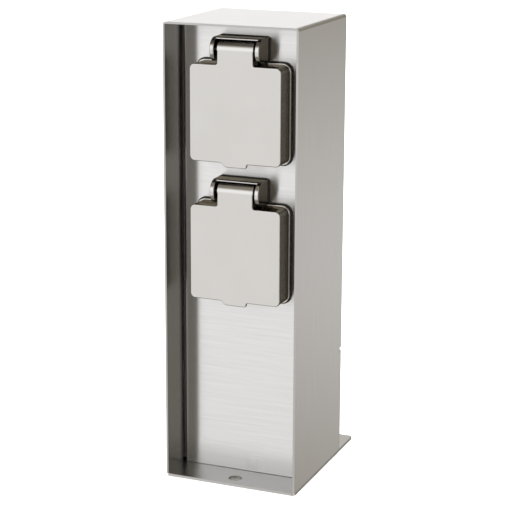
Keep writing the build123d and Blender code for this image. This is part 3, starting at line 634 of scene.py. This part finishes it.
bowl_radius = 6.0
bowl_height = 6.0
bowl_bend = 2.5
sweep = bmesh.new()
bmesh.ops.create_circle(sweep, cap_ends=True, segments=96, radius=bowl_radius)
rim = sweep.edges[:]
wall = bmesh.ops.extrude_edge_only(sweep, edges=rim)["geom"]
wall_tops = [corner for corner in wall if isinstance(corner, bmesh.types.BMVert)]
bmesh.ops.translate(sweep, vec=(0.0, 0.0, bowl_height), verts=wall_tops)
bmesh.ops.bevel(
    sweep, geom=rim, offset=bowl_bend, affect="EDGES", segments=16, profile=0.5, material=-1)
bmesh.ops.recalc_face_normals(sweep, faces=sweep.faces)
floor_mesh = bpy.data.meshes.new("studio_floor")
sweep.to_mesh(floor_mesh)
sweep.free()
floor_mesh.shade_smooth()
floor = bpy.data.objects.new("studio_floor", floor_mesh)
bpy.context.scene.collection.objects.link(floor)
paper = Finish("studio_paper")
spot = paper.place()
spot_x = paper.part(spot, "X")
spot_y = paper.part(spot, "Y")
# Painted shade: the paper is grey under the plate, and this shows through its fixing holes.
shade_half_x = 0.048
shade_half_y = 0.060
blur = 0.001
under_x = paper.between(spot_x, -shade_half_x - blur, -shade_half_x)
under_x = under_x * paper.between(spot_x, shade_half_x, shade_half_x + blur, 1.0, 0.0)
under_y = paper.between(spot_y, -shade_half_y - blur, -shade_half_y)
under_y = under_y * paper.between(spot_y, shade_half_y, shade_half_y + blur, 1.0, 0.0)
white = (0.86, 0.86, 0.86, 1.0)
painted_shade_under_plate = (0.22, 0.215, 0.20, 1.0)
shaded = paper.mixed(under_x * under_y, white, painted_shade_under_plate)
paper.shade(Base_Color=shaded, Roughness=0.9, Metallic=0.0)
floor_mesh.materials.append(paper.material)
floor.visible_glossy = False


class Room(Finish):
    """The light that comes from each direction round the object."""

    def __init__(self, name):
        self.world = bpy.data.worlds.new(name)
        self.world.use_nodes = True
        self.tree = self.world.node_tree
        self.tree.nodes.clear()

    def card(self, towards, reach, edge, low, high, light):
        """A card of that light, towards x and y: its half width, the half width of its soft
        edges, and the elevations of its foot and top, all in degrees."""
        ray = self.node("ShaderNodeTexCoord", "Generated", {}, {})
        aim = Vector((*towards, 0.0)).normalized()
        near = self.node(
            "ShaderNodeVectorMath", "Value", {"operation": "DOT_PRODUCT"}, {0: ray, 1: aim})
        rise = self.part(ray, "Z")

        def step(level, start, end, amount):
            values = {"Value": level, 1: start, 2: end, 3: 0.0, 4: amount}
            soft = {"interpolation_type": "SMOOTHSTEP"}
            return self.node("ShaderNodeMapRange", "Result", soft, values)

        def sine(angle):
            return math.sin(math.radians(angle))

        wide = step(near, sine(90.0 - reach - edge), sine(90.0 - reach + edge), light)
        above = step(rise, sine(low - edge), sine(low + edge), 1.0)
        below = step(0.0 - rise, sine(-high - edge), sine(-high + edge), 1.0)
        return wide * above * below

    def light(self, *glows):
        """The sum of the glows, each a colour and how strong it is."""
        total = None
        for colour, strength in glows:
            values = {"Color": colour, "Strength": strength}
            glow = self.node("ShaderNodeBackground", "Background", {}, values)
            if total is not None:
                glow = self.node("ShaderNodeAddShader", "Shader", {}, {0: total, 1: glow})
            total = glow
        end = self.tree.nodes.new("ShaderNodeOutputWorld")
        self.tree.links.new(total.socket, end.inputs["Surface"])


room = Room("studio_room")
front_left = room.card((-0.77, -0.64), reach=48.0, edge=8.0, low=-40.0, high=38.0, light=1.15)
front_left_glow = room.card((-0.77, -0.64), reach=48.0, edge=8.0, low=0.0, high=30.0, light=0.5)
front_strip = room.card((0.03, -1.0), reach=5.0, edge=4.0, low=-20.0, high=40.0, light=2.0)
back_left = room.card((-0.6, 0.8), reach=38.0, edge=8.0, low=-20.0, high=13.0, light=1.22)
back_right = room.card((0.385, 0.92), reach=28.0, edge=9.0, low=-20.5, high=-8.5, light=0.70)
back_high = room.card((-0.2, 0.97), reach=75.0, edge=10.0, low=28.0, high=60.0, light=0.75)
right = room.card((0.97, -0.25), reach=46.0, edge=8.0, low=-35.0, high=45.0, light=0.85)
cards = front_left + front_left_glow + front_strip + back_left + back_right + back_high + right
card_white = (0.98, 1.005, 1.06, 1.0)
room_walls = (1.0, 0.905, 0.76, 1.0)
room_dim = 0.46
room.light((card_white, cards), (room_walls, room_dim))
bpy.context.scene.world = room.world


def softbox(name, place, aim, width, height, watts):
    """A rectangular lamp that faces its aim."""
    lamp = bpy.data.lights.new(name, "AREA")
    lamp.shape = "RECTANGLE"
    lamp.size = width
    lamp.size_y = height
    lamp.energy = watts
    made = bpy.data.objects.new(name, lamp)
    bpy.context.scene.collection.objects.link(made)
    made.location = place
    made.rotation_euler = (Vector(aim) - Vector(place)).to_track_quat("-Z", "Y").to_euler()
    return made


paper_light = softbox(
    "paper_light", place=(-1.2, -0.4, 5.0), aim=(0.0, 0.0, 0.0), width=9.0, height=9.0, watts=900.0)
paper_light.visible_glossy = False

camera_place = (0.4462, -1.0998, 0.4675)
camera_heading = 22.339
camera_dip = 13.948
camera_roll = 0.2217
camera = bpy.data.objects.new("camera", bpy.data.cameras.new("camera"))
bpy.context.scene.collection.objects.link(camera)
camera.data.sensor_width = 36.0
camera.data.lens = 117.9
camera.data.shift_y = -0.043
camera.data.clip_end = 60.0
camera.matrix_world = (
    Matrix.Translation(camera_place)
    @ Matrix.Rotation(math.radians(camera_heading), 4, "Z")
    @ Matrix.Rotation(math.radians(90.0 - camera_dip), 4, "X")
    @ Matrix.Rotation(math.radians(camera_roll), 4, "Z")
)
bpy.context.scene.camera = camera
